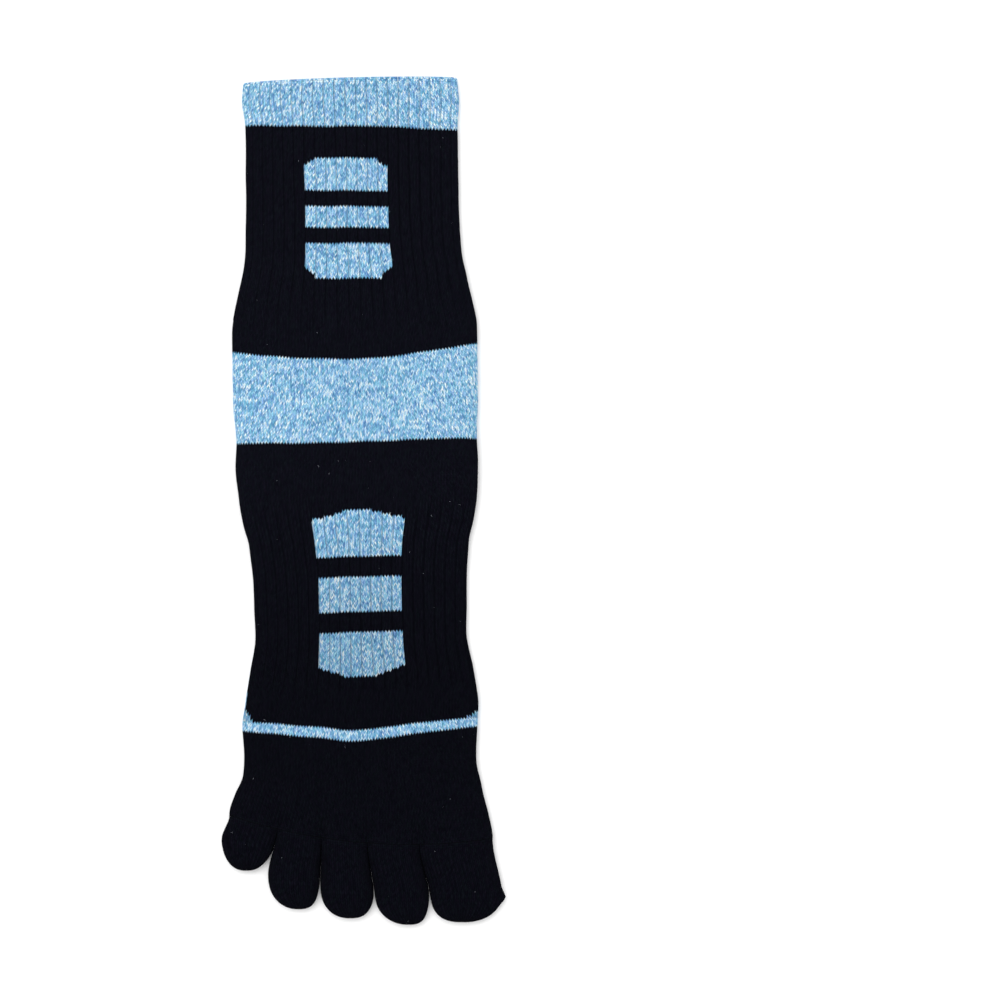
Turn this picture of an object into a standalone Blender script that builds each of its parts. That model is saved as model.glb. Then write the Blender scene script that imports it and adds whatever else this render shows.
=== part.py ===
"""A knitted toe sock that lies flat with its instep up.

It has a doubled ribbed cuff, a ribbed leg, a light heel whose pouch is folded flat under the sole,
a foot that is ribbed at the arch, a thin stripe at the ball, and a toe end with five closed toes.
The cuff points to +Y, the toes to -Y and the instep to +Z. The sock rests on z = 0, with the origin
under the middle of its outline.
"""

import math

import bmesh
import bpy
import numpy as np

MM = 0.001

# Lengths of the knitted pieces, from the mouth to the toes
CUFF_LENGTH = 19.6 * MM
LEG_LENGTH = 92.8 * MM
HEEL_LENGTH = 33.0 * MM
FOOT_LENGTH = 115.2 * MM
STRIPE_LENGTH = 4.2 * MM
FOREFOOT_LENGTH = 40.8 * MM
TOE_LENGTH = 32.4 * MM
TOE_CAP_LENGTH = 11.5 * MM

# Widths of the sock as it lies
CUFF_WIDTH = 87.4 * MM
LEG_WIDTH = 85.2 * MM
HEEL_WIDTH = 97.8 * MM
ARCH_WIDTH = 84.6 * MM
BALL_WIDTH = 94.2 * MM
TOES_WIDTH = 105.4 * MM

# Thickness of the sock as it lies: both walls and the air between them
LEG_THICKNESS = 9.6 * MM
HEEL_THICKNESS = 13.6 * MM
ARCH_THICKNESS = 9.8 * MM
BALL_THICKNESS = 10.2 * MM
TOE_THICKNESS = 10.8 * MM

# The knit: one wall, the doubled wall of the cuff, and the ribs
WALL = 1.4 * MM
CUFF_WALL = 2.2 * MM
RIB_COUNT = 42
RIB_DEPTH = 0.4 * MM
VALLEY_SHARE = 0.22

# The pouch of the heel, folded flat toward the toes under the sole
POUCH_DEPTH = 34.0 * MM
POUCH_SETBACK = 8.0 * MM
POUCH_HALF_SHARE = 0.76
LIFT_HALF_SHARE = 0.98
FOLD_GAP = 0.4 * MM
SOLE_RAMP = 16.0 * MM

# The grooves that run from between the toes on to the forefoot: depth, width over the half width,
# and the share of the forefoot where they start
GROOVE_DEPTH = 2.2 * MM
GROOVE_SHARE = 0.05
GROOVE_START = 0.72

# The gap that separate pieces keep, and the samples from which the way round a section is measured
JOINT_GAP = 0.3 * MM
WAY_SAMPLES = 801

# Shape of every section: how square it is, height of the side fold, and how soon the underside
# lies flat
SQUARENESS = 5.0
EDGE_SHARE = 0.40
UNDERSIDE_FULLNESS = 1.18

# How many columns go round the heel over the top and along the sole, and round a toe
HEEL_TOP_COLUMNS = 17
HEEL_SOLE_COLUMNS = 27
TOE_COLUMNS = 16

LENGTHS = {
    "cuff": CUFF_LENGTH,
    "leg": LEG_LENGTH,
    "heel": HEEL_LENGTH,
    "foot": FOOT_LENGTH,
    "ball_stripe": STRIPE_LENGTH,
    "forefoot": FOREFOOT_LENGTH,
}
PIECES = tuple(LENGTHS)

# Sections: piece, share of its length, width, sideways shift over width, thickness, squareness
SECTIONS = (
    ("cuff", 0.00, 0.985 * CUFF_WIDTH, -0.042, 0.98 * LEG_THICKNESS, SQUARENESS),
    ("cuff", 0.45, 1.000 * CUFF_WIDTH, -0.040, 1.00 * LEG_THICKNESS, SQUARENESS),
    ("leg", 0.00, 1.000 * LEG_WIDTH, -0.037, 1.00 * LEG_THICKNESS, SQUARENESS),
    ("leg", 0.30, 1.000 * LEG_WIDTH, -0.032, 0.96 * LEG_THICKNESS, SQUARENESS),
    ("leg", 0.50, 1.015 * LEG_WIDTH, -0.027, 0.98 * LEG_THICKNESS, SQUARENESS),
    ("leg", 0.64, 1.058 * LEG_WIDTH, -0.019, 1.02 * LEG_THICKNESS, SQUARENESS),
    ("leg", 0.79, 0.975 * HEEL_WIDTH, -0.020, 1.10 * LEG_THICKNESS, SQUARENESS),
    ("leg", 0.92, 1.000 * HEEL_WIDTH, -0.019, 1.20 * LEG_THICKNESS, SQUARENESS),
    ("heel", 0.50, 1.000 * HEEL_WIDTH, -0.015, 0.97 * HEEL_THICKNESS, SQUARENESS),
    ("foot", 0.00, 0.983 * HEEL_WIDTH, -0.010, 1.00 * HEEL_THICKNESS, SQUARENESS),
    ("foot", 0.09, 0.992 * HEEL_WIDTH, -0.009, 1.00 * HEEL_THICKNESS, SQUARENESS),
    ("foot", 0.20, 0.975 * HEEL_WIDTH, -0.005, 0.98 * HEEL_THICKNESS, SQUARENESS),
    ("foot", 0.28, 0.947 * HEEL_WIDTH, -0.003, 0.92 * HEEL_THICKNESS, SQUARENESS),
    ("foot", 0.36, 1.040 * ARCH_WIDTH, -0.001, 1.14 * ARCH_THICKNESS, SQUARENESS),
    ("foot", 0.50, 1.006 * ARCH_WIDTH, 0.004, 1.00 * ARCH_THICKNESS, SQUARENESS),
    ("foot", 0.68, 1.000 * ARCH_WIDTH, 0.008, 1.00 * ARCH_THICKNESS, SQUARENESS),
    ("foot", 0.82, 0.950 * BALL_WIDTH, 0.012, 0.98 * BALL_THICKNESS, SQUARENESS),
    ("foot", 0.93, 0.990 * BALL_WIDTH, 0.011, 1.00 * BALL_THICKNESS, SQUARENESS),
    ("ball_stripe", 0.50, 1.000 * BALL_WIDTH, 0.003, 1.00 * BALL_THICKNESS, SQUARENESS),
    ("forefoot", 0.30, 0.985 * BALL_WIDTH, 0.004, 1.02 * BALL_THICKNESS, SQUARENESS),
    ("forefoot", 0.55, 1.013 * BALL_WIDTH, 0.013, 1.00 * TOE_THICKNESS, SQUARENESS),
    ("forefoot", 0.78, 0.960 * TOES_WIDTH, 0.010, 1.00 * TOE_THICKNESS, 6.5),
    ("forefoot", 1.00, 1.000 * TOES_WIDTH, 0.007, 1.00 * TOE_THICKNESS, 10.0),
)

# Courses: piece and share where they are read, tilt and bow over the width there
COURSES = (
    ("cuff", 0.0, 0.0126, 0.0103),
    ("leg", 0.0, -0.0094, 0.0035),
    ("leg", 0.55, -0.0115, 0.0000),
    ("heel", 0.0, 0.0188, -0.0430),
    ("foot", 0.0, 0.0131, 0.0000),
    ("ball_stripe", 0.0, 0.0096, -0.0403),
    ("forefoot", 0.0, 0.0106, -0.0465),
    ("forefoot", 1.0, -0.0436, -0.0588),
)

# Ribs: piece, share of its length, share of the rib depth
RIBS = (
    ("cuff", 0.00, 1.0),
    ("leg", 0.66, 1.0),
    ("leg", 0.98, 0.0),
    ("foot", 0.20, 0.0),
    ("foot", 0.27, 1.0),
    ("foot", 0.82, 1.0),
    ("foot", 0.90, 0.0),
)

# Rows of the knit that each ribbed piece has, as shares of its length
ROWS = {
    "cuff": (0.06, 0.50, 1.0),
    "leg": (0.0, 0.30, 0.55, 0.68, 0.80, 0.92, 1.0),
    "foot": (0.0, 0.14, 0.262, 0.41, 0.55, 0.70, 0.84, 1.0),
    "ball_stripe": (0.0, 1.0),
    "forefoot": (0.0, 0.35, 0.62, 0.84, 1.0),
}

# Toes: name, length over the longest, how far the tip leans over the half width
TOES = (
    ("little_toe", 0.600, 0.10),
    ("fourth_toe", 0.940, 0.20),
    ("third_toe", 0.965, 0.12),
    ("second_toe", 1.000, 0.25),
    ("big_toe", 0.990, -0.12),
)

# Borders between the toes: share of the toes' width at the base and near the tips, share of the
# toe length over which it moves there, and columns of the forefoot up to the next border
BORDERS = (
    (0.000, -0.031, 0.34, 5),
    (0.183, 0.146, 0.60, 5),
    (0.350, 0.344, 0.70, 5),
    (0.525, 0.552, 0.75, 5),
    (0.722, 0.761, 0.70, 7),
    (1.000, 1.037, 0.75, 0),
)
# How far each toe draws back from the next by its tip, and the share of its length where that starts
TOE_PARTING = 0.5 * MM
PARTING_START = 0.5
CAP_SQUARENESS = 2.25
TOE_SQUARENESS = (6.0, 3.0)
TOE_ROWS = (0.0, 0.5, 1.0)
CAP_ANGLES = (30.0, 52.0, 70.0, 82.0)

# Rows of the heel's folded lower wall: on its flat start, in each turn, and along the pouch
FLAT_STEPS = (0.0, 0.55, 1.0)
TURN_STEPS = (0.25, 0.5, 0.75, 1.0)
POUCH_STEPS = (0.5, 1.0)

# Angle up to which the columns of the forefoot crowd toward its sides, and the sharpest soft edge
CROWDING = math.radians(81)
SOFT_EDGE = math.radians(50)

# Colour of each yarn, its roughness, and the pieces knitted from it
YARNS = (
    ("light_blue_melange", (0.30, 0.57, 0.79), 0.95, ("cuff", "heel", "ball_stripe")),
    ("black_navy", (0.006, 0.007, 0.012), 0.95, ()),
)


def start_of(piece):
    """Distance from the mouth to where this piece starts."""
    return sum(LENGTHS[name] for name in PIECES[: PIECES.index(piece)])


def place(piece, share):
    return start_of(piece) + share * LENGTHS[piece]


def smooth_between(places, values, at):
    """A cubic through the values that never swings past them."""
    steps = np.diff(places)
    slopes = np.diff(values) / steps
    tangents = np.zeros(len(values))
    same = slopes[1:] * slopes[:-1] > 0
    mean = 2 * slopes[1:] * slopes[:-1] / np.where(same, slopes[1:] + slopes[:-1], 1)
    tangents[1:-1] = np.where(same, mean, 0)
    i = int(np.clip(np.searchsorted(places, at) - 1, 0, len(steps) - 1))
    t = min(max((at - places[i]) / steps[i], 0.0), 1.0)
    rise = values[i] + (values[i + 1] - values[i]) * t * t * (3 - 2 * t)
    bend = tangents[i] * (1 - t) ** 2 * t - tangents[i + 1] * t * t * (1 - t)
    return rise + bend * steps[i]


def read_table(table, at):
    """Every value of a table with a row for each place, at this distance from the mouth."""
    places = np.array([place(row[0], row[1]) for row in table])
    return [
        smooth_between(places, np.array([row[column] for row in table]), at)
        for column in range(2, len(table[0]))
    ]


def ease(share):
    share = np.clip(share, 0.0, 1.0)
    return share * share * (3 - 2 * share)


def course_height(at, across):
    """How much higher than its middle a course lies at this share of the half width."""
    width = read_table(SECTIONS, at)[0]
    tilt, bow = read_table(COURSES, at)
    return width * (tilt * across - bow * across**2)


def grooves(at, across):
    """How far the grooves between the toes press the top of the forefoot in."""
    start = place("forefoot", GROOVE_START)
    strength = ease((at - start) / (place("forefoot", 1.0) - start))
    pressed = 0.0
    for border in BORDERS[1:-1]:
        offset = (across - (2 * border[0] - 1)) / GROOVE_SHARE
        pressed = pressed + np.exp(-(offset**2))
    return GROOVE_DEPTH * strength * pressed


def sole_spread(across):
    """Share of the full lift that the folded pouch gives the sole at this share of the half width."""
    fade = (np.abs(across) - POUCH_HALF_SHARE) / (LIFT_HALF_SHARE - POUCH_HALF_SHARE)
    return 1 - ease(fade)


def fold_lift():
    """Height of the two folded layers of the pouch that lie under the sole."""
    return 2 * (WALL + FOLD_GAP)


def sole_lift(at, across):
    """How far the sole of the foot is raised by the pouch under it."""
    if not place("foot", 0.0) <= at <= place("ball_stripe", 0.0):
        return np.zeros(len(across))
    past = at - place("foot", 0.0) - (POUCH_DEPTH - POUCH_SETBACK + 2 * WALL)
    return fold_lift() * sole_spread(across) * (1 - ease(past / SOLE_RAMP))


def profile(across, squareness):
    return np.sqrt(np.clip(1 - np.abs(across) ** squareness, 0, 1))


def section_z(across, top, thickness, squareness, depth, lift=0.0):
    """Height of a point of a section, depth inside its outer face."""
    edge = EDGE_SHARE * thickness
    full = profile(across, squareness)
    above = edge + (thickness - edge - depth) * full
    below = edge - (edge - depth - lift) * np.minimum(1, UNDERSIDE_FULLNESS * full)
    return np.where(top, above, below)


def spread_columns(shares, width, thickness, squareness):
    """Where columns at these shares of the way around lie: share of the half width, and top or not.

    The way around starts at the left side, is half done at the right side, and comes back below.
    """
    turn = np.linspace(-1, 3, WAY_SAMPLES)
    across = np.sin(turn * math.pi / 2)
    x = across * width / 2
    z = section_z(across, turn < 1, thickness, squareness, 0.0)
    steps = np.hypot(np.diff(x), np.diff(z))
    travelled = np.concatenate([[0], np.cumsum(steps)])
    side = travelled[len(turn) // 2]
    way = np.interp(shares, [0, 0.5, 1], [0, side, travelled[-1]])
    found = np.interp(way, travelled, turn)
    return np.sin(found * math.pi / 2), found < 1


def tube_ring(at, shares, depth, columns=None):
    """The points of one course of the sock: at this distance from the mouth, depth inside."""
    width, shift, thickness, squareness = read_table(SECTIONS, at)
    across, top = columns or spread_columns(shares, width, thickness, squareness)
    x = shift * width + across * (width / 2 - depth)
    y = course_height(at, across) - at
    z = section_z(across, top, thickness, squareness, depth, sole_lift(at, across))
    z = z - np.where(top, grooves(at, across), 0)
    return np.stack([x, y, z], axis=1)


def rib_shares():
    """Columns of the ribbed pieces: the valley of each rib, then the two ends of its crest."""
    phases = (0.0, VALLEY_SHARE, 1 - VALLEY_SHARE)
    return [(rib + phase) / RIB_COUNT for rib in range(RIB_COUNT) for phase in phases]


def even_shares(count):
    return [column / count for column in range(count)]


def ribbed_ring(at, depth=0.0):
    strength = read_table(RIBS, at)[0]
    shares = rib_shares()
    valleys = np.array([RIB_DEPTH * strength, 0.0, 0.0] * RIB_COUNT)
    return tube_ring(at, shares, depth + valleys)


def ends_of(piece):
    """Where a piece starts and ends once its gap is taken off both ends."""
    return place(piece, 0.0) + JOINT_GAP / 2, place(piece, 1.0) - JOINT_GAP / 2


def rows_of(piece):
    first, last = ends_of(piece)
    return [min(max(place(piece, share), first), last) for share in ROWS[piece]]


def ribbed_tube(piece):
    rows = rows_of(piece)
    inside = even_shares(RIB_COUNT)
    outer = [ribbed_ring(at) for at in rows]
    inner = [tube_ring(at, inside, WALL) for at in reversed(rows)]
    return outer + inner


def cuff_rings():
    """The cuff is a welt: its wall is doubled, and its rim is a round fold."""
    rows = rows_of("cuff")
    inside = even_shares(RIB_COUNT)
    rim = CUFF_WALL / 2
    corner = rim * (1 - math.sqrt(0.5))
    outer = [ribbed_ring(at) for at in rows]
    inner = [tube_ring(at, inside, CUFF_WALL) for at in reversed(rows)]
    turn = [
        tube_ring(corner, inside, CUFF_WALL - corner),
        ribbed_ring(0.0, rim),
        ribbed_ring(corner, corner),
    ]
    return outer + inner + turn


def stripe_rings():
    rows = rows_of("ball_stripe")
    shares = even_shares(RIB_COUNT)
    outer = [tube_ring(at, shares, 0.0) for at in rows]
    inner = [tube_ring(at, shares, WALL) for at in reversed(rows)]
    return outer + inner


def forefoot_columns():
    """Columns of the forefoot: some on each toe's lane, over the top and back along the sole."""
    lanes = []
    for border, following in zip(BORDERS, BORDERS[1:]):
        steps = np.arange(border[3]) / border[3]
        lanes.extend(border[0] + (following[0] - border[0]) * steps)
    # The first column is the left side itself, and the columns crowd a little toward both sides
    even = 2 * np.array(lanes) - 1
    crowded = np.sin(even * CROWDING) / math.sin(CROWDING)
    across = (even + crowded) / 2
    right = np.concatenate([across, -across[:1]])
    return (
        np.concatenate([across, right[:0:-1]]),
        np.concatenate([np.ones(len(across), bool), np.zeros(len(across), bool)]),
    )


def forefoot_rings():
    rows = rows_of("forefoot")
    columns = forefoot_columns()
    outer = [tube_ring(at, None, 0.0, columns) for at in rows]
    inner = [tube_ring(at, None, WALL, columns) for at in reversed(rows)]
    return outer + inner


def fold_path(run, rise, pouch):
    """The middle of the heel's lower wall, as (way along -Y, height, heading) for each row.

    It runs toward the toes, turns up and back for the depth of the pouch, and turns again to end
    run further on and rise higher. Where the rise is small the two turns are only a bend.
    """
    radius = fold_lift() / 4
    turn = math.acos(min(max(1 - rise / (2 * radius), -1.0), 1.0))
    last = POUCH_SETBACK
    first = run - 2 * radius * math.sin(turn) - pouch * math.cos(turn) - last
    path = [(step * first, 0.0, 0.0) for step in FLAT_STEPS]
    for step in TURN_STEPS:
        angle = step * turn
        along = first + radius * math.sin(angle)
        path.append((along, radius * (1 - math.cos(angle)), angle))
    along, height, _ = path[-1]
    for step in POUCH_STEPS:
        way = step * pouch
        path.append((along + way * math.cos(turn), height + way * math.sin(turn), turn))
    along, height, _ = path[-1]
    for step in TURN_STEPS:
        angle = (1 - step) * turn
        ahead = radius * (math.sin(turn) - math.sin(angle))
        up = radius * (math.cos(angle) - math.cos(turn))
        path.append((along + ahead, height + up, angle))
    path.append((run, path[-1][1], 0.0))
    return path


def heel_columns():
    top = np.linspace(-1, 1, HEEL_TOP_COLUMNS + 1)[:-1]
    sole = np.linspace(1, -1, HEEL_SOLE_COLUMNS + 1)[:-1]
    across = np.concatenate([np.sin(top * math.pi / 2), np.sin(sole * math.pi / 2)])
    is_top = np.concatenate([np.ones(len(top), bool), np.zeros(len(sole), bool)])
    return across, is_top


def heel_rings():
    """The ring band over the instep, and the pouch of the heel folded under the sole."""
    first, last = ends_of("heel")
    across, top = heel_columns()
    foot = place("foot", 0.0)
    faces = {}
    for depth in (0.0, WALL):
        start = tube_ring(first, None, depth, (across, top))
        end = tube_ring(last, None, depth, (across, top))
        end[:, 2] = tube_ring(foot, None, depth, (across, top))[:, 2]
        faces[depth] = (start, end)
    row_count = len(fold_path(HEEL_LENGTH, 0.0, 0.0))
    outer = np.zeros((row_count, len(across), 3))
    inner = np.zeros_like(outer)
    for column in range(len(across)):
        out_start, out_end = (ring[column] for ring in faces[0.0])
        in_start, in_end = (ring[column] for ring in faces[WALL])
        if top[column]:
            for row in range(row_count):
                share = row / (row_count - 1)
                at = first + (last - first) * share
                one = (np.array([across[column]]), np.array([True]))
                outer[row, column] = tube_ring(at, None, 0.0, one)[0]
                inner[row, column] = tube_ring(at, None, WALL, one)[0]
            continue
        fullness = min(1.0, UNDERSIDE_FULLNESS * float(profile(across[column], SQUARENESS)))
        rise = fold_lift() * float(sole_spread(across[column])) * fullness
        reach = 1 - (across[column] / POUCH_HALF_SHARE) ** 2
        pouch = POUCH_DEPTH * math.sqrt(max(reach, 0.0))
        middle_start = (out_start + in_start) / 2
        middle_end = (out_end + in_end) / 2
        run = middle_start[1] - middle_end[1]
        rest = middle_end[2] - middle_start[2] - rise
        path = fold_path(run, rise, pouch)
        travelled = np.concatenate(
            [[0], np.cumsum([math.dist(a[:2], b[:2]) for a, b in zip(path, path[1:])])]
        )
        for row, (along, height, heading) in enumerate(path):
            share = travelled[row] / travelled[-1]
            half = ((in_start - out_start) * (1 - share) + (in_end - out_end) * share) / 2
            middle = middle_start + (middle_end - middle_start) * share
            middle[1] = middle_start[1] - along
            middle[2] = middle_start[2] + height + rest * share
            turned = np.array([half[0], half[2] * math.sin(heading), half[2] * math.cos(heading)])
            outer[row, column] = middle - turned
            inner[row, column] = middle + turned
    return list(outer) + list(inner[::-1])


def border_x(index, y):
    """Where the border between two toes lies at this height of the drawing."""
    base_share, end_share, run, _ = BORDERS[index]
    end = place("forefoot", 1.0)
    width, shift = read_table(SECTIONS, end)[:2]
    base_y = float(course_height(end, 2 * base_share - 1)) - end
    share = base_share + (end_share - base_share) * ease((base_y - y) / (run * TOE_LENGTH))
    return shift * width + (share - 0.5) * width


def parting(border, share):
    """How far a toe keeps from its border, at this share of its length."""
    if border in (0, len(BORDERS) - 1):
        return JOINT_GAP / 2
    opened = ease((share - PARTING_START) / (1 - PARTING_START))
    return JOINT_GAP / 2 + TOE_PARTING * opened


def toe_ring(index, along, cap_angle, depth):
    """One ring of a toe: along its straight part, or at an angle on its round tip."""
    _, length_share, lean = TOES[index]
    end = place("forefoot", 1.0)
    width, shift = read_table(SECTIONS, end)[:2]
    length = length_share * TOE_LENGTH - depth
    cap = TOE_CAP_LENGTH - depth
    angle = math.radians(cap_angle)
    round_way = math.sin(angle) ** (2 / CAP_SQUARENESS)
    closing = max(math.cos(angle), 0.0) ** (2 / CAP_SQUARENESS)
    way = JOINT_GAP / 2 + (length - cap - JOINT_GAP / 2) * along + cap * round_way
    share = way / length
    middle_share = BORDERS[index][0] + BORDERS[index + 1][0] - 1
    middle = float(course_height(end, middle_share)) - end

    def drop(across):
        """How far a point keeps from the middle's height: the bow of the base fades to the tip."""
        return middle - way + (1 - share) * (course_height(end, across) - end - middle)

    left = border_x(index, drop(2 * BORDERS[index][0] - 1)) + parting(index, share)
    right = border_x(index + 1, drop(2 * BORDERS[index + 1][0] - 1)) - parting(index + 1, share)
    half = (right - left) / 2 - depth
    squareness = TOE_SQUARENESS[0] + (TOE_SQUARENESS[1] - TOE_SQUARENESS[0]) * ease(2 * share)
    across, top = spread_columns(even_shares(TOE_COLUMNS), 2 * half, TOE_THICKNESS, squareness)
    edge = EDGE_SHARE * TOE_THICKNESS
    z = section_z(across, top, TOE_THICKNESS, squareness, depth)
    x = (left + right) / 2 + half * closing * across
    y = drop((x - shift * width) / (width / 2))
    x = x + half * lean * math.sin(angle) ** 2
    return np.stack([x, y, edge + (z - edge) * closing], axis=1)


def toe_rings(index):
    """The outer face of a toe from its tip to its base, then the inner face back to the tip."""
    faces = []
    for depth in (0.0, WALL):
        rings = [toe_ring(index, along, 0.0, depth) for along in TOE_ROWS]
        rings += [toe_ring(index, 1.0, angle, depth) for angle in CAP_ANGLES]
        rings.append(toe_ring(index, 1.0, 90.0, depth)[:1])
        faces.append(rings)
    return faces[0][::-1] + faces[1]


def bridge(shape, one, other):
    """Faces between two rings. One may have a whole number of times the other's points, or be a tip."""
    if len(one) < len(other):
        one, other = other, one
    count = len(one)
    if len(other) == 1:
        for i in range(count):
            shape.faces.new((one[i], one[(i + 1) % count], other[0]))
        return
    ratio = count // len(other)
    for j in range(len(other)):
        near = [one[(j * ratio + i) % count] for i in range(ratio + 1)]
        shape.faces.new(near + [other[(j + 1) % len(other)], other[j]])


def loft(name, rings, closed, origin, material, collection):
    """A solid from its rings: outer face and inner face, joined at the rims or closed at the tips."""
    shape = bmesh.new()
    loops = [[shape.verts.new(point - origin) for point in ring] for ring in rings]
    following = loops[1:] + (loops[:1] if closed else [])
    for one, other in zip(loops, following):
        bridge(shape, one, other)
    bmesh.ops.recalc_face_normals(shape, faces=shape.faces)
    mesh = bpy.data.meshes.new(name)
    shape.to_mesh(mesh)
    shape.free()
    mesh.shade_smooth()
    mesh.set_sharp_from_angle(angle=SOFT_EDGE)
    mesh.materials.append(material)
    solid = bpy.data.objects.new(name, mesh)
    solid.location = origin
    collection.objects.link(solid)
    return solid


def yarn_material(name, colour, roughness):
    material = bpy.data.materials.new(name)
    material.use_nodes = True
    shader = material.node_tree.nodes["Principled BSDF"]
    shader.inputs["Base Color"].default_value = (*colour, 1.0)
    shader.inputs["Roughness"].default_value = roughness
    shader.inputs["Metallic"].default_value = 0.0
    material.diffuse_color = (*colour, 1.0)
    return material


def all_rings():
    """Name, rings and whether the rings close on themselves, for every piece."""
    made = [
        ("cuff", cuff_rings(), True),
        ("leg", ribbed_tube("leg"), True),
        ("heel", heel_rings(), True),
        ("foot", ribbed_tube("foot"), True),
        ("ball_stripe", stripe_rings(), True),
        ("forefoot", forefoot_rings(), True),
    ]
    made += [(toe[0], toe_rings(index), False) for index, toe in enumerate(TOES)]
    return made


def main():
    for old in list(bpy.data.objects):
        bpy.data.objects.remove(old, do_unlink=True)
    collection = bpy.data.collections.new("toe_sock")
    bpy.context.scene.collection.children.link(collection)
    made = all_rings()
    points = np.concatenate([ring for _, rings, _ in made for ring in rings])
    middle = (points.min(axis=0) + points.max(axis=0)) / 2
    middle[2] = points[:, 2].min()
    light, dark = (yarn_material(*yarn[:3]) for yarn in YARNS)
    for name, rings, closed in made:
        material = light if name in YARNS[0][3] else dark
        placed = [ring - middle for ring in rings]
        everything = np.concatenate(placed)
        origin = (everything.min(axis=0) + everything.max(axis=0)) / 2
        origin[2] = 0.0
        loft(name, placed, closed, origin, material, collection)


main()
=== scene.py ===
"""The looks of a knitted toe sock that lies flat on a pale floor, seen from straight above.

Every node of the frame is replaced by a fine knitted shell of the same form. A shell has four columns
of faces to each wale and a row to each course, so that each leg of each stitch has its own faces.
"""

import math

import bpy
import numpy as np
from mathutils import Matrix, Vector


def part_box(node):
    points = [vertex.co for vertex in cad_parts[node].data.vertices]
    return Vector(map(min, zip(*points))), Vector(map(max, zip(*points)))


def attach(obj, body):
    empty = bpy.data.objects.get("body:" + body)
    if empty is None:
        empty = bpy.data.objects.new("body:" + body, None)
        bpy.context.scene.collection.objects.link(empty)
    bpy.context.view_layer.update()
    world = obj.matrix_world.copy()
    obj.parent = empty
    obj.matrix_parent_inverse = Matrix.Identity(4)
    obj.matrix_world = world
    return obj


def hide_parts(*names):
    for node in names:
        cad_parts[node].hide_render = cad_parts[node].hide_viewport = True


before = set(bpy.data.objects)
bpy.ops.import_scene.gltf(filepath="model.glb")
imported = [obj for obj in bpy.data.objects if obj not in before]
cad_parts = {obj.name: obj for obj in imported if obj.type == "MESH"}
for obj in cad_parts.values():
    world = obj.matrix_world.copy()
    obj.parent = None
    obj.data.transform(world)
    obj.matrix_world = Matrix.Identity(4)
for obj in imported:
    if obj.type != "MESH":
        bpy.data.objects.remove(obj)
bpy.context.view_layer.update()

MM = 0.001

# Sizes of the sock, the same as in the model of the frame
CUFF_LENGTH = 19.6 * MM
LEG_LENGTH = 92.8 * MM
HEEL_LENGTH = 33.0 * MM
FOOT_LENGTH = 115.2 * MM
STRIPE_LENGTH = 4.2 * MM
FOREFOOT_LENGTH = 40.8 * MM
TOE_LENGTH = 32.4 * MM
TOE_CAP_LENGTH = 11.5 * MM
CUFF_WIDTH = 87.4 * MM
LEG_WIDTH = 85.2 * MM
HEEL_WIDTH = 97.8 * MM
ARCH_WIDTH = 84.6 * MM
BALL_WIDTH = 94.2 * MM
TOES_WIDTH = 105.4 * MM
LEG_THICKNESS = 9.6 * MM
HEEL_THICKNESS = 13.6 * MM
ARCH_THICKNESS = 9.8 * MM
BALL_THICKNESS = 10.2 * MM
TOE_THICKNESS = 10.8 * MM
WALL = 1.4 * MM
CUFF_WALL = 2.2 * MM
POUCH_DEPTH = 34.0 * MM
POUCH_SETBACK = 8.0 * MM
POUCH_HALF_SHARE = 0.76
FOLD_GAP = 0.4 * MM
SOLE_RAMP = 16.0 * MM
GROOVE_DEPTH = 2.2 * MM
GROOVE_SHARE = 0.05
GROOVE_START = 0.72
LIFT_HALF_SHARE = 0.98
SQUARENESS = 5.0
EDGE_SHARE = 0.40
UNDERSIDE_FULLNESS = 1.18

# The knit: wales round the leg, wales to a rib, length of a course, and depth of the relief
WALES = 168
RIB_WALES = 4
COLUMNS_A_WALE = 4
COURSE = 0.92 * MM
PURL_SHARE = 0.11
RIB_DEPTH = 0.40 * MM
WALE_DEPTH = 0.20 * MM
STITCH_RISE = 1.10 * MM
WALE_WAVER = 0.16 * MM
COURSE_WAVER = 0.28 * MM
CALM_LENGTH = 9.0 * MM
INNER_ROW = 4
# Courses over which the knit flattens where the toes join the forefoot
JOIN_COURSES = 3
# Share of a toe's length over which it takes its own round section
JOIN_SHARE = 0.45
# Depth between the two legs of a stitch, over the depth between wales
LEG_PARTING = 0.45
# How far the plain wales of a rib fall toward its recessed one, over the depth of the ribs
RIB_FALL = 0.42
# Rows of the cuff's round rim, angles of its inner half, and what it keeps of the rise of a stitch
RIM_STEPS = 6
RIM_INNER_ANGLES = (70, 40, 15)
RIM_RISE = 0.4
# Courses over which that rise returns, and how far the first of them keeps from the mouth over the rim
RIM_COURSES = 4
RIM_CLEAR = 1.2
# Power of the profile along which waves and grooves fade to the sides
FADE_POWER = 4.0
# Low waves of the upper side: their lengths across and along the sock, and their depth
LONG_WAVES = (19 * MM, 41 * MM, 27 * MM)
SHORT_WAVES = (8.5 * MM, 31 * MM, 12.5 * MM, 40 * MM)
LONG_WAVE_DEPTH = 0.28 * MM
SHORT_WAVE_DEPTH = 0.10 * MM
# Lengths of the waver of wales and of courses
WALE_WAVE = 13 * MM
COURSE_WAVE = 11 * MM
# Steps round a section, along a turn of the fold, and across the mouth
SECTION_STEPS = 1601
TURN_STEPS = 25
MOUTH_STEPS = 201
# Rows of the heel's lower wall along each stretch of its fold: in, first turn, back, last turn, out
FOLD_ROWS = (22, 12, 18, 12, 8)
HEEL_INNER_ROW = 3
# Where in its wale and course a face of the rim finds its tone
RIM_WALE = 0.3
RIM_COURSE = 0.5

LENGTHS = {
    "cuff": CUFF_LENGTH,
    "leg": LEG_LENGTH,
    "heel": HEEL_LENGTH,
    "foot": FOOT_LENGTH,
    "ball_stripe": STRIPE_LENGTH,
    "forefoot": FOREFOOT_LENGTH,
}
PIECES = tuple(LENGTHS)

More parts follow.
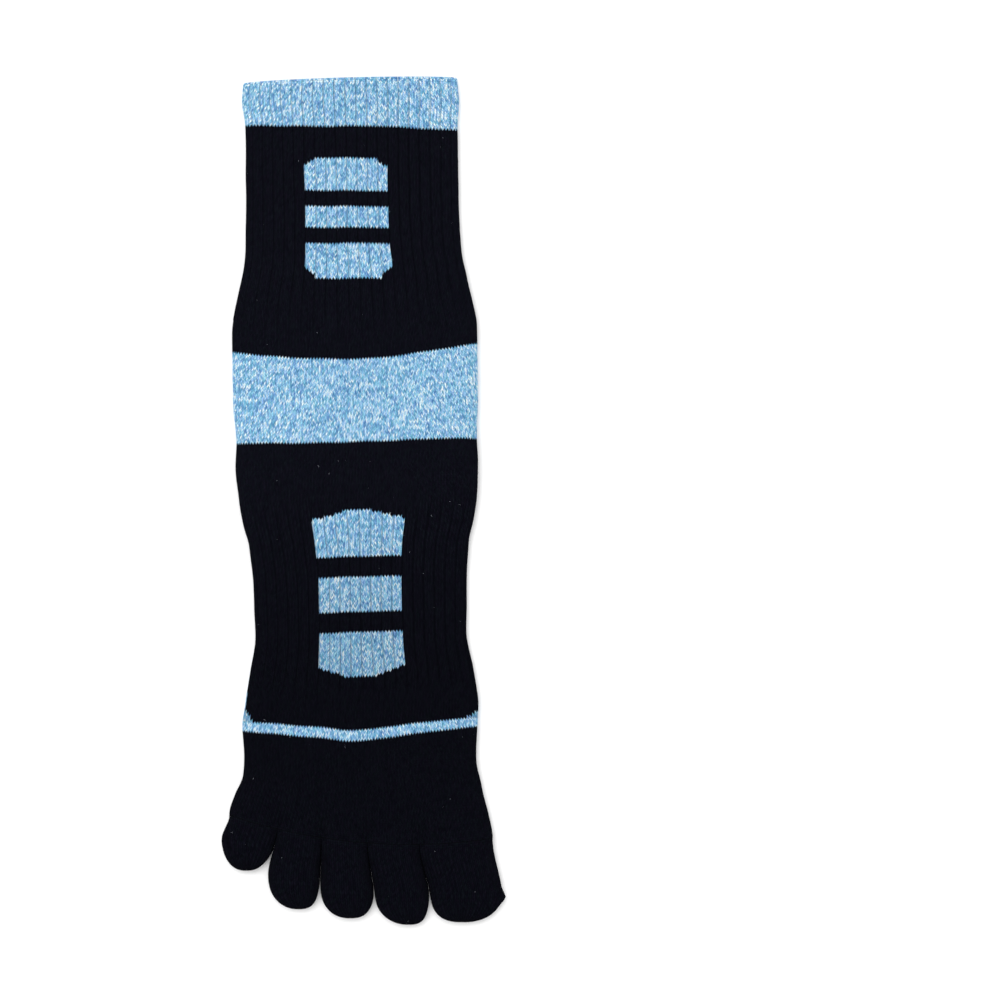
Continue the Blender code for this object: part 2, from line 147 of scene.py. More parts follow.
# Sections: piece, share of its length, width, sideways shift over width, thickness, squareness
SECTIONS = (
    ("cuff", 0.00, 0.985 * CUFF_WIDTH, -0.042, 0.98 * LEG_THICKNESS, SQUARENESS),
    ("cuff", 0.45, 1.000 * CUFF_WIDTH, -0.040, 1.00 * LEG_THICKNESS, SQUARENESS),
    ("leg", 0.00, 1.000 * LEG_WIDTH, -0.037, 1.00 * LEG_THICKNESS, SQUARENESS),
    ("leg", 0.30, 1.000 * LEG_WIDTH, -0.032, 0.96 * LEG_THICKNESS, SQUARENESS),
    ("leg", 0.50, 1.015 * LEG_WIDTH, -0.027, 0.98 * LEG_THICKNESS, SQUARENESS),
    ("leg", 0.64, 1.058 * LEG_WIDTH, -0.019, 1.02 * LEG_THICKNESS, SQUARENESS),
    ("leg", 0.79, 0.975 * HEEL_WIDTH, -0.020, 1.10 * LEG_THICKNESS, SQUARENESS),
    ("leg", 0.92, 1.000 * HEEL_WIDTH, -0.019, 1.20 * LEG_THICKNESS, SQUARENESS),
    ("heel", 0.50, 1.000 * HEEL_WIDTH, -0.015, 0.97 * HEEL_THICKNESS, SQUARENESS),
    ("foot", 0.00, 0.983 * HEEL_WIDTH, -0.010, 1.00 * HEEL_THICKNESS, SQUARENESS),
    ("foot", 0.09, 0.992 * HEEL_WIDTH, -0.009, 1.00 * HEEL_THICKNESS, SQUARENESS),
    ("foot", 0.20, 0.975 * HEEL_WIDTH, -0.005, 0.98 * HEEL_THICKNESS, SQUARENESS),
    ("foot", 0.28, 0.947 * HEEL_WIDTH, -0.003, 0.92 * HEEL_THICKNESS, SQUARENESS),
    ("foot", 0.36, 1.040 * ARCH_WIDTH, -0.001, 1.14 * ARCH_THICKNESS, SQUARENESS),
    ("foot", 0.50, 1.006 * ARCH_WIDTH, 0.004, 1.00 * ARCH_THICKNESS, SQUARENESS),
    ("foot", 0.68, 1.000 * ARCH_WIDTH, 0.008, 1.00 * ARCH_THICKNESS, SQUARENESS),
    ("foot", 0.82, 0.950 * BALL_WIDTH, 0.012, 0.98 * BALL_THICKNESS, SQUARENESS),
    ("foot", 0.93, 0.990 * BALL_WIDTH, 0.011, 1.00 * BALL_THICKNESS, SQUARENESS),
    ("ball_stripe", 0.50, 1.000 * BALL_WIDTH, 0.003, 1.00 * BALL_THICKNESS, SQUARENESS),
    ("forefoot", 0.30, 0.985 * BALL_WIDTH, 0.004, 1.02 * BALL_THICKNESS, SQUARENESS),
    ("forefoot", 0.55, 1.013 * BALL_WIDTH, 0.013, 1.00 * TOE_THICKNESS, SQUARENESS),
    ("forefoot", 0.78, 0.960 * TOES_WIDTH, 0.010, 1.00 * TOE_THICKNESS, 6.5),
    ("forefoot", 1.00, 1.000 * TOES_WIDTH, 0.007, 1.00 * TOE_THICKNESS, 10.0),
)

# Courses: piece and share where they are read, tilt and bow over the width there
COURSES = (
    ("cuff", 0.0, 0.0126, 0.0103),
    ("leg", 0.0, -0.0094, 0.0035),
    ("leg", 0.55, -0.0115, 0.0000),
    ("heel", 0.0, 0.0188, -0.0430),
    ("foot", 0.0, 0.0131, 0.0000),
    ("ball_stripe", 0.0, 0.0096, -0.0403),
    ("forefoot", 0.0, 0.0106, -0.0465),
    ("forefoot", 1.0, -0.0436, -0.0588),
)

# Ribs and turn: piece, share of its length, share of the rib depth, wales by which the tube is turned
RIBS = (
    ("cuff", 0.00, 1.0, 0.0),
    ("leg", 0.66, 1.0, 0.0),
    ("leg", 0.98, 0.0, 1.2),
    ("foot", 0.20, 0.0, 2.3),
    ("foot", 0.27, 1.0, 2.3),
    ("foot", 0.82, 1.0, 2.3),
    ("foot", 0.90, 0.0, 2.3),
)

# Toes: name, length over the longest, how far the tip leans over the half width, wales
TOES = (
    ("little_toe", 0.600, 0.10, 32),
    ("fourth_toe", 0.940, 0.20, 28),
    ("third_toe", 0.965, 0.12, 30),
    ("second_toe", 1.000, 0.25, 34),
    ("big_toe", 0.990, -0.12, 46),
)

# Borders between the toes: share of the toes' width at the base and near the tips, and share of the
# toe length over which it moves there
BORDERS = (
    (0.000, -0.031, 0.34),
    (0.183, 0.146, 0.60),
    (0.350, 0.344, 0.70),
    (0.525, 0.552, 0.75),
    (0.722, 0.761, 0.70),
    (1.000, 1.037, 0.75),
)
# How far each toe draws back from the next by its tip, and the share of its length where that starts
TOE_PARTING = 0.5 * MM
PARTING_START = 0.5
TOE_GAP = 0.05 * MM
CAP_SQUARENESS = 2.25
TOE_SQUARENESS = (6.0, 3.0)
# Courses of a toe's round tip, the angle where they end, and how they crowd there
CAP_COURSES = 16
CAP_END = 88.0
CAP_CROWDING = 0.9
# Inner rows of a toe: share of its straight part, and angle on its round tip
INNER_STATIONS = ((0.0, 0.0), (0.5, 0.0), (1.0, 0.0), (1.0, 30.0), (1.0, 55.0), (1.0, 75.0), (1.0, 87.0))

LIGHT_PIECES = ("cuff", "heel", "ball_stripe")

# Light bars, each 32 wales wide: piece, top and bottom as shares of its length, share of the half
# width that is straight, and how far the corners drop at the top and rise at the bottom
BAR_WALES = (24, 56)
BARS = (
    ("leg", 0.138, 0.277, 0.71, 0.039, 0.000),
    ("leg", 0.347, 0.432, 0.71, 0.000, 0.000),
    ("leg", 0.504, 0.651, 0.71, 0.000, 0.052),
    ("foot", 0.243, 0.404, 0.26, 0.028, 0.000),
    ("foot", 0.475, 0.592, 0.26, 0.000, 0.000),
    ("foot", 0.662, 0.819, 0.20, 0.000, 0.038),
)

# The light pad under the ball of the foot, which just reaches round both sides: the wale, counted on
# past the right side, and the share of the foot at which the pad begins there
PAD = (
    (76.4, 1.000),
    (81.7, 0.972),
    (86.0, 0.900),
    (92.0, 0.720),
    (160.0, 0.720),
    (165.3, 0.800),
    (167.2, 0.955),
    (168.2, 0.967),
    (171.8, 1.000),
)

# The ball stripe dips toward the toes here: share of the half width, width of the dip over the half
# width, its depth, and how far along the sock it fades
DIP_ACROSS = -0.05
DIP_WIDTH = 0.24
DIP_DEPTH = 1.2 * MM
DIP_REACH = 16.0 * MM

# The end of the yarn that stands out at the big toe's outer corner: place, width and height
NUB_AT = (55.4 * MM, -158.4 * MM)
NUB_WIDTH = 2.4 * MM
NUB_HEIGHT = 1.6 * MM

# Yarn tones: place on the scale of tones, colour
LIGHT_TONES = (
    (0.20, (0.060, 0.230, 0.450)),
    (0.41, (0.170, 0.440, 0.730)),
    (0.57, (0.340, 0.670, 0.960)),
    (0.77, (0.900, 1.000, 1.000)),
)
DARK_TONES = (
    (0.14, (0.0026, 0.0028, 0.0052)),
    (0.50, (0.0042, 0.0046, 0.0084)),
    (0.86, (0.0062, 0.0067, 0.0118)),
)
TONE_SHARES = {"leg": 0.38, "half": 0.34, "fibre": 0.28, "cloud": 0.16}
FIBRE_SCALE = 2600
CLOUD_SCALE = 420
# Painted shade in the recessed wale of each rib: how much darker that yarn is painted
RIB_PAINTED_SHADE = 0.12
LINT_COLOUR = (0.55, 0.58, 0.66)
FUZZ_LIGHT = (0.42, 0.66, 0.88)
FUZZ_DARK = (0.012, 0.013, 0.020)
# How bright the dark yarn looks at the toes, over the leg, and the length over which that changes
FOREFOOT_SHADE = 0.74
SHADE_RUN = 0.9 * FOOT_LENGTH
# Of each yarn: sheen, painted shade in the hollows between stitches, spread of hue, and strength of the
# fine relief
LIGHT_LOOK = (0.10, 0.55, 0.045, 0.8)
DARK_LOOK = (0.004, 0.45, 0.08, 0.7)
# Seeds of the tones: of a stitch's legs, of their halves, and of their hues
LEG_SEED = 1.5
HALF_SEED = 7.5
HUE_SEED = 12.5
# How much a leg of a stitch rounds off at its ends (in its bump and in its painted shade), height of its
# fibres over it, and depth of both
END_DIP = 0.85
STRAND_HEIGHT = 0.35
BUMP_DISTANCE = 0.25 * MM
ROUGHNESS = 0.95
SHEEN_ROUGHNESS = 0.6
FUZZ_SHEEN = 0.2

# Loose fibres: name, how many, seed, on the light yarn or not, least and most length in mm, radius, slot
FIBRES = (
    ("light_fuzz", 2600, 3, True, (0.5, 1.3), 0.020 * MM, "light_blue_knit"),
    ("dark_fuzz", 3400, 5, False, (0.4, 1.1), 0.018 * MM, "black_knit"),
    ("lint", 130, 8, False, (0.4, 1.5), 0.026 * MM, "black_knit"),
)
# How deep a fibre starts in the knit, how far it keeps from the floor, and its taper
FIBRE_ROOT = 0.1 * MM
FIBRE_CLEARANCE = 0.05 * MM
FIBRE_TAPER = (1.0, 0.9, 0.5)

FLOOR_SIZE = 6.0
FLOOR_COLOUR = (0.97, 0.97, 0.97)
SKY_STRENGTH = 0.95
LAMP_PLACE = (-0.25, 0.35, 1.9)
LAMP_SIZE = 1.4
LAMP_POWER = 22

PHOTO_PIXEL = 0.4 * MM
PHOTO_SIZE = 1000
# Pixel of the photograph that the origin of the frame falls on
ORIGIN_PIXEL = (361.85, 500.85)
CAMERA_HEIGHT = 2.4
CAMERA_SENSOR = 36.0
# Height of the sock's outline, where the photograph's scale holds
OUTLINE_HEIGHT = 5 * MM


def start_of(piece):
    """Distance from the mouth to where this piece starts."""
    return sum(LENGTHS[name] for name in PIECES[: PIECES.index(piece)])


def place(piece, share):
    return start_of(piece) + share * LENGTHS[piece]


def smooth_between(places, values, at):
    """A cubic through the values that never swings past them."""
    steps = np.diff(places)
    slopes = np.diff(values) / steps
    tangents = np.zeros(len(values))
    same = slopes[1:] * slopes[:-1] > 0
    mean = 2 * slopes[1:] * slopes[:-1] / np.where(same, slopes[1:] + slopes[:-1], 1)
    tangents[1:-1] = np.where(same, mean, 0)
    i = int(np.clip(np.searchsorted(places, at) - 1, 0, len(steps) - 1))
    t = min(max((at - places[i]) / steps[i], 0.0), 1.0)
    rise = values[i] + (values[i + 1] - values[i]) * t * t * (3 - 2 * t)
    bend = tangents[i] * (1 - t) ** 2 * t - tangents[i + 1] * t * t * (1 - t)
    return rise + bend * steps[i]


def read_table(table, at):
    """Every value of a table with a row for each place, at this distance from the mouth."""
    places = np.array([place(row[0], row[1]) for row in table])
    return [
        smooth_between(places, np.array([row[column] for row in table]), at)
        for column in range(2, len(table[0]))
    ]


def ease(share):
    share = np.clip(share, 0.0, 1.0)
    return share * share * (3 - 2 * share)


def course_height(at, across):
    """How much higher than its middle a course lies at this share of the half width."""
    width = read_table(SECTIONS, at)[0]
    tilt, bow = read_table(COURSES, at)
    far = (at - place("ball_stripe", 0.5)) / DIP_REACH
    dip = np.exp(-(((across - DIP_ACROSS) / DIP_WIDTH) ** 2))
    raised = DIP_DEPTH * (1 - dip) * np.exp(-(far**2)) * np.maximum(0.0, 1 - across**4)
    return width * (tilt * across - bow * across**2) + raised


def grooves(at, across):
    """How far the grooves between the toes press the top of the forefoot in."""
    start = place("forefoot", GROOVE_START)
    strength = ease((at - start) / (place("forefoot", 1.0) - start))
    pressed = 0.0
    for border in BORDERS[1:-1]:
        offset = (across - (2 * border[0] - 1)) / GROOVE_SHARE
        pressed = pressed + np.exp(-(offset**2))
    return GROOVE_DEPTH * strength * pressed


def sole_spread(across):
    """Share of the full lift that the folded pouch gives the sole at this share of the half width."""
    fade = (np.abs(across) - POUCH_HALF_SHARE) / (LIFT_HALF_SHARE - POUCH_HALF_SHARE)
    return 1 - ease(fade)


def fold_lift():
    """Height of the two folded layers of the pouch that lie under the sole."""
    return 2 * (WALL + FOLD_GAP)


def sole_lift(at, across):
    """How far the sole of the foot is raised by the pouch under it."""
    if not place("foot", 0.0) <= at <= place("ball_stripe", 0.0):
        return np.zeros(len(across))
    past = at - place("foot", 0.0) - (POUCH_DEPTH - POUCH_SETBACK + 2 * WALL)
    return fold_lift() * sole_spread(across) * (1 - ease(past / SOLE_RAMP))


def profile(across, squareness):
    return np.sqrt(np.clip(1 - np.abs(across) ** squareness, 0, 1))


def section_z(across, top, thickness, squareness, depth, lift=0.0):
    """Height of a point of a section, depth inside its outer face."""
    edge = EDGE_SHARE * thickness
    full = profile(across, squareness)
    above = edge + (thickness - edge - depth) * full
    below = edge - (edge - depth - lift) * np.minimum(1, UNDERSIDE_FULLNESS * full)
    return np.where(top, above, below)


def spread_columns(shares, width, thickness, squareness):
    """Where columns at these shares of the way around lie: share of the half width, and top or not."""
    turn = np.linspace(-1, 3, SECTION_STEPS)
    across = np.sin(turn * math.pi / 2)
    x = across * width / 2
    z = section_z(across, turn < 1, thickness, squareness, 0.0)
    travelled = np.concatenate([[0], np.cumsum(np.hypot(np.diff(x), np.diff(z)))])
    side = travelled[len(turn) // 2]
    way = np.interp(np.asarray(shares) % 1.0, [0, 0.5, 1], [0, side, travelled[-1]])
    found = np.interp(way, travelled, turn)
    return np.sin(found * math.pi / 2), found < 1


def knit_columns():
    """Stitch coordinate of each column: whole numbers are the borders between wales."""
    return np.arange(WALES * COLUMNS_A_WALE) / COLUMNS_A_WALE


def wale_places(columns, strength):
    """Where the columns lie, in wales, when the recessed wale of each rib is drawn in."""
    rib = np.floor(columns / RIB_WALES)
    rest = columns - rib * RIB_WALES
    purl = (1 - strength) / RIB_WALES + strength * PURL_SHARE
    purl_width = purl * RIB_WALES
    plain_width = (RIB_WALES - purl_width) / (RIB_WALES - 1)
    within = (rest - 0.5) * purl_width
    beyond = purl_width / 2 + (rest - 1) * plain_width
    return rib * RIB_WALES + np.where(rest < 1, within, beyond)


def wale_relief(columns):
    """Depth of the knit below its crests: deep between wales, shallow between a stitch's two legs."""
    rest = columns % 1.0
    border = np.clip(1 - rest * COLUMNS_A_WALE, 0, 1) + np.clip(1 - (1 - rest) * COLUMNS_A_WALE, 0, 1)
    middle = np.clip(1 - np.abs(rest - 0.5) * COLUMNS_A_WALE, 0, 1)
    return WALE_DEPTH * (border + LEG_PARTING * middle)


def rib_relief(columns, strength):
    """Depth of the ribs below their crests: the recessed wale, and a slight fall toward it."""
    rest = columns % RIB_WALES
    recessed = np.where(rest < 1, 1.0, 0.0)
    near = np.where(rest >= 1, np.abs(rest - 2.5) / 1.5, 1.0)
    return RIB_DEPTH * strength * np.maximum(recessed, RIB_FALL * near**3)


def undulation(x, y):
    """Low waves that a soft sock keeps on its upper side, as a depth."""
    long_x, long_bend, long_y = LONG_WAVES
    short_x, short_slant, short_y, short_lean = SHORT_WAVES
    long_wave = np.sin(x / long_x + 1.3 * np.sin(y / long_bend)) * np.sin(y / long_y + 0.6)
    short_wave = np.sin(x / short_x - y / short_slant) * np.sin(y / short_y + x / short_lean)
    return LONG_WAVE_DEPTH * (1 + long_wave) + SHORT_WAVE_DEPTH * (1 + short_wave)


def waver(a, b, length):
    """A slow wave, between -1 and 1, that no two courses or wales share."""
    return np.sin(a / length + 1.7 * np.sin(b / (2.3 * length)) + 0.8 * np.cos(a / (0.37 * length)))


def sock_ring(at, across, top, depth):
    """The points of one course of the sock at this distance from the mouth, depth inside."""
    width, shift, thickness, squareness = read_table(SECTIONS, at)
    x = shift * width + across * (width / 2 - depth)
    side = np.where(top, 1.0, -1.0)
    # The waves die out at the mouth, and where the toes join on
    calm = ease(at / CALM_LENGTH) * ease((place("forefoot", 1.0) - at) / CALM_LENGTH)
    x = x + calm * WALE_WAVER * waver(at + side * x, x, WALE_WAVE)
    y = course_height(at, across) - at
    y = y + calm * COURSE_WAVER * waver(x, at * side, COURSE_WAVE)
    z = section_z(across, top, thickness, squareness, depth, sole_lift(at, across))
    soft = profile(across, FADE_POWER) * np.where(top, 1.0, 0.0)
    z = z - soft * (grooves(at, across) + undulation(x, y))
    return np.stack([x, y, z], axis=1)


def spread_knit(at):
    """Where the knitted columns lie on the section at this distance from the mouth."""
    strength, turned = read_table(RIBS, at)
    width, _, thickness, squareness = read_table(SECTIONS, at)
    shares = (wale_places(knit_columns(), strength) + turned) / WALES
    return spread_columns(shares, width, thickness, squareness)


def spread_inner(at):
    """Where the columns of the inner face lie there, one to a wale."""
    turned = read_table(RIBS, at)[1]
    width, _, thickness, squareness = read_table(SECTIONS, at)
    return spread_columns((np.arange(WALES) + turned) / WALES, width, thickness, squareness)


def knit_row(at, face_depth=0.0, relief_share=1.0, rise_share=1.0):
    """One row of the knitted outer face: the borders of the wales stand higher than their middles."""
    columns = knit_columns()
    across, top = spread_knit(at)
    relief = wale_relief(columns) + rib_relief(columns, read_table(RIBS, at)[0])
    ring = sock_ring(at, across, top, face_depth + relief_share * relief)
    rest = columns % 1.0
    ring[:, 1] += STITCH_RISE * rise_share * (np.abs(2 * rest - 1) - 0.5)
    return ring


def inner_row(at, depth):
    across, top = spread_inner(at)
    return sock_ring(at, across, top, depth)


def course_rows(piece, courses):
    return [place(piece, row / courses) for row in range(courses + 1)]


def courses_of(piece):
    return round(LENGTHS[piece] / COURSE)


def first_course(piece):
    """Number of the course that a piece starts with, counted from the mouth."""
    return sum(courses_of(name) for name in PIECES[: PIECES.index(piece)])


def tube(piece):
    """Outer rows, their course numbers, and inner rows of a piece that is a plain tube."""
    courses = courses_of(piece)
    rows = course_rows(piece, courses)
    end = place("forefoot", 1.0)
    joins = [float(ease((end - at) / (JOIN_COURSES * COURSE))) for at in rows]
    outer = [knit_row(at, 0.0, join, join) for at, join in zip(rows, joins)]
    inner = [inner_row(at, WALL) for at in rows[::INNER_ROW] + rows[-1:] * (courses % INNER_ROW > 0)]
    numbers = first_course(piece) + np.arange(courses + 1)
    return np.array(outer), numbers, np.array(inner)


def cuff():
    """The doubled welt: its outer rows, then a round rim that turns down inside."""
    rim = CUFF_WALL / 2
    outer = []
    numbers = []
    rows = [at for at in course_rows("cuff", courses_of("cuff")) if at > RIM_CLEAR * rim]
    for step in range(RIM_STEPS + 1):
        angle = math.radians(90 * (1 - step / RIM_STEPS))
        at = rim * (1 - math.sin(angle))
        depth = rim * (1 - math.cos(angle))
        outer.append(knit_row(at, depth, math.cos(angle), RIM_RISE * math.cos(angle)))
        numbers.append(at / COURSE)
    for at in rows:
        risen = float(ease(at / (RIM_COURSES * COURSE)))
        outer.append(knit_row(at, 0.0, 1.0, RIM_RISE + (1 - RIM_RISE) * risen))
        numbers.append(at / COURSE)
    inner = []
    for degrees in RIM_INNER_ANGLES:
        angle = math.radians(degrees)
        inner.append(inner_row(rim * (1 - math.sin(angle)), rim * (1 + math.cos(angle))))
    inner += [inner_row(at, CUFF_WALL) for at in rows[::INNER_ROW] + rows[-1:]]
    return np.array(outer), np.array(numbers), np.array(inner)


def fold_path(run, rise, pouch):
    """The middle of the heel's lower wall: way along -Y, height, heading and length so far."""
    radius = fold_lift() / 4
    turn = math.acos(min(max(1 - rise / (2 * radius), -1.0), 1.0))
    last = POUCH_SETBACK
    first = run - 2 * radius * math.sin(turn) - pouch * math.cos(turn) - last
    corner = np.linspace(0, turn, TURN_STEPS)
    legs = (
        (np.array([0.0, first]), np.zeros(2), np.zeros(2)),
        (radius * np.sin(corner), radius * (1 - np.cos(corner)), corner),
        (np.array([0, pouch * math.cos(turn)]), np.array([0, pouch * math.sin(turn)]), np.full(2, turn)),
        (
            radius * (math.sin(turn) - np.sin(corner[::-1])),
            radius * (np.cos(corner[::-1]) - math.cos(turn)),
            corner[::-1],
        ),
        (np.array([0.0, last]), np.zeros(2), np.zeros(2)),
    )
    path = [np.zeros((1, 3))]
    for along, height, heading in legs:
        leg = np.stack([along, height, heading], axis=1)
        leg[:, :2] += path[-1][-1, :2]
        path.append(leg)
    path = np.concatenate(path)
    steps = np.hypot(np.diff(path[:, 0]), np.diff(path[:, 1]))
    travelled = np.concatenate([[0], np.cumsum(steps)])
    return path, travelled, (first, radius * turn, pouch, radius * turn, last)


def heel():
    """The ring band over the instep, and the pouch of the heel folded under the sole."""
    first, last = place("heel", 0.0), place("heel", 1.0)
    even = np.linspace(0, 1, sum(FOLD_ROWS) + 1)
    outer = np.array([knit_row(first + (last - first) * share) for share in even])
    inner = np.array([inner_row(first + (last - first) * share, WALL) for share in even])
    numbers = first_course("heel") + even * courses_of("heel")
    numbers = np.repeat(numbers[:, None], WALES * COLUMNS_A_WALE, axis=1)
    for grid, spread, counted in ((outer, spread_knit, numbers), (inner, spread_inner, None)):
        across, top = spread(first)
        under = ~top & ~spread(last)[1]
        for column in np.nonzero(under)[0]:
            fold_column(grid, column, float(across[column]), counted)
    return outer, numbers, inner[::HEEL_INNER_ROW]


def fold_column(grid, column, across, numbers):
    """Lays one column of the heel's lower wall along the S of the folded pouch.

    The outer face comes with its course numbers, and the inner face with none."""
    row_count = len(grid)
    start, end = grid[0, column].copy(), grid[-1, column].copy()
    run = start[1] - end[1]
    spread = float(sole_spread(across))
    fullness = min(1.0, UNDERSIDE_FULLNESS * float(profile(across, SQUARENESS)))
    rise = fold_lift() * spread * fullness
    reach = 1 - (across / POUCH_HALF_SHARE) ** 2
    pouch = POUCH_DEPTH * math.sqrt(max(reach, 0.0))
    path, travelled, stretches = fold_path(run, rise, pouch)
    bounds = np.concatenate([[0], np.cumsum(stretches)]) / sum(stretches)
    row_bounds = np.concatenate([[0], np.cumsum(FOLD_ROWS)]) / sum(FOLD_ROWS)
    even = np.linspace(0, 1, row_count)
    share = spread * np.interp(even, row_bounds, bounds) + (1 - spread) * even
    way = share * travelled[-1]
    along, height, heading = (np.interp(way, travelled, path[:, k]) for k in range(3))
    inside = WALL / 2 * fullness * (1 if numbers is None else -1)
    middle_z = (1 - share) * (start[2] - inside) + share * (end[2] - inside - rise)
    grid[:, column, 0] = start[0] + (end[0] - start[0]) * share
    grid[:, column, 1] = start[1] - along + np.sin(heading) * inside
    grid[:, column, 2] = np.maximum(middle_z + height + np.cos(heading) * inside, 0.0)
    if numbers is not None:
        numbers[:, column] = numbers[0, column] + way / COURSE


def border_x(index, y):
    """Where the border between two toes lies at this height of the drawing."""
    base_share, end_share, run = BORDERS[index]
    end = place("forefoot", 1.0)
    width, shift = read_table(SECTIONS, end)[:2]
    base_y = float(course_height(end, 2 * base_share - 1)) - end
    share = base_share + (end_share - base_share) * ease((base_y - y) / (run * TOE_LENGTH))
    return shift * width + (share - 0.5) * width


def parting(border, share):
    """How far a toe keeps from its border, at this share of its length."""
    if border in (0, len(BORDERS) - 1):
        return TOE_GAP
    return TOE_GAP + TOE_PARTING * ease((share - PARTING_START) / (1 - PARTING_START))


def toe_ring(index, columns, along, cap_angle, depth, relief):
    """One ring of a toe: along its straight part, or at an angle on its round tip."""
    _, length_share, lean, wales = TOES[index]
    end = place("forefoot", 1.0)
    width, shift, _, end_squareness = read_table(SECTIONS, end)
    length = length_share * TOE_LENGTH - depth
    cap = TOE_CAP_LENGTH - depth
    angle = math.radians(cap_angle)
    round_way = math.sin(angle) ** (2 / CAP_SQUARENESS)
    closing = max(math.cos(angle), 0.0) ** (2 / CAP_SQUARENESS)
    way = (length - cap) * along + cap * round_way
    share = way / length
    middle_share = BORDERS[index][0] + BORDERS[index + 1][0] - 1
    middle = float(course_height(end, middle_share)) - end

    def drop(across):
        """How far a point keeps from the middle's height: the bow of the base fades to the tip."""
        return middle - way + (1 - share) * (course_height(end, across) - end - middle)

    left = border_x(index, drop(2 * BORDERS[index][0] - 1)) + parting(index, share)
    right = border_x(index + 1, drop(2 * BORDERS[index + 1][0] - 1)) - parting(index + 1, share)
    half = (right - left) / 2 - depth
    squareness = TOE_SQUARENESS[0] + (TOE_SQUARENESS[1] - TOE_SQUARENESS[0]) * ease(2 * share)
    across, top = spread_columns(columns / wales, 2 * half, TOE_THICKNESS, squareness)
    edge = EDGE_SHARE * TOE_THICKNESS
    z = section_z(across, top, TOE_THICKNESS, squareness, depth + relief * closing)
    x = (left + right) / 2 + (half - relief) * closing * across
    whole = (x - shift * width) / (width / 2)
    y = drop(whole)
    joined = section_z(whole, top, TOE_THICKNESS, end_squareness, depth + relief)
    joined = joined - profile(whole, FADE_POWER) * np.where(top, grooves(end, whole), 0.0)
    own = float(ease(share / JOIN_SHARE))
    z = edge + (z - edge) * closing
    z = joined + (z - joined) * own
    flat = profile(whole, FADE_POWER) * (1 - own)
    rounded = profile(across, FADE_POWER) * own * closing
    soft = np.where(top, flat + rounded, 0.0)
    z = z - soft * undulation(x, y)
    x = x + half * lean * math.sin(angle) ** 2
    return np.stack([x, y, z], axis=1)


def toe(index):
    """Outer rows, their course numbers, and inner rows of a closed toe pocket."""
    wales = TOES[index][3]
    columns = np.arange(wales * COLUMNS_A_WALE) / COLUMNS_A_WALE
    relief = wale_relief(columns)
    rest = columns % 1.0
    straight = TOES[index][1] * TOE_LENGTH - TOE_CAP_LENGTH
    courses = max(round(straight / COURSE), 4)
    stations = [(row / courses, 0.0) for row in range(courses + 1)]
    for row in range(1, CAP_COURSES + 1):
        stations.append((1.0, CAP_END * (row / CAP_COURSES) ** CAP_CROWDING))
    outer = []
    for row, (along, angle) in enumerate(stations):
        join = float(ease(row / JOIN_COURSES))
        ring = toe_ring(index, columns, along, angle, 0.0, relief * join)
        closing = math.cos(math.radians(angle))
        ring[:, 1] += STITCH_RISE * join * closing * (np.abs(2 * rest - 1) - 0.5)
        outer.append(ring)
    numbers = first_course("forefoot") + courses_of("forefoot") + np.arange(len(outer))
    plain = np.arange(wales) * 1.0
    inner = [toe_ring(index, plain, along, angle, WALL, 0.0) for along, angle in INNER_STATIONS]
    return np.array(outer), numbers, np.array(inner)


def is_light(piece, wale, share):
    """Whether the stitch of this wale, at this share of the piece, is knitted in the light yarn."""
    if piece in LIGHT_PIECES:
        return np.ones(np.broadcast(wale, share).shape, bool)
    found = np.zeros(np.broadcast(wale, share).shape, bool)
    middle = sum(BAR_WALES) / 2
    half = (BAR_WALES[1] - BAR_WALES[0]) / 2
    offset = np.abs(wale - middle) / half
    for bar_piece, top, bottom, flat, drop, lift in BARS:
        if bar_piece != piece:
            continue
        corner = np.clip((offset - flat) / (1 - flat), 0, 1)
        found |= (offset < 1) & (share > top + drop * corner) & (share < bottom - lift * corner)
    if piece == "foot":
        counted = np.where(wale < PAD[0][0], wale + WALES, wale)
        pad_wales, begins = np.array(PAD).T
        found |= share > np.interp(counted, pad_wales, begins, right=2.0)
    return found


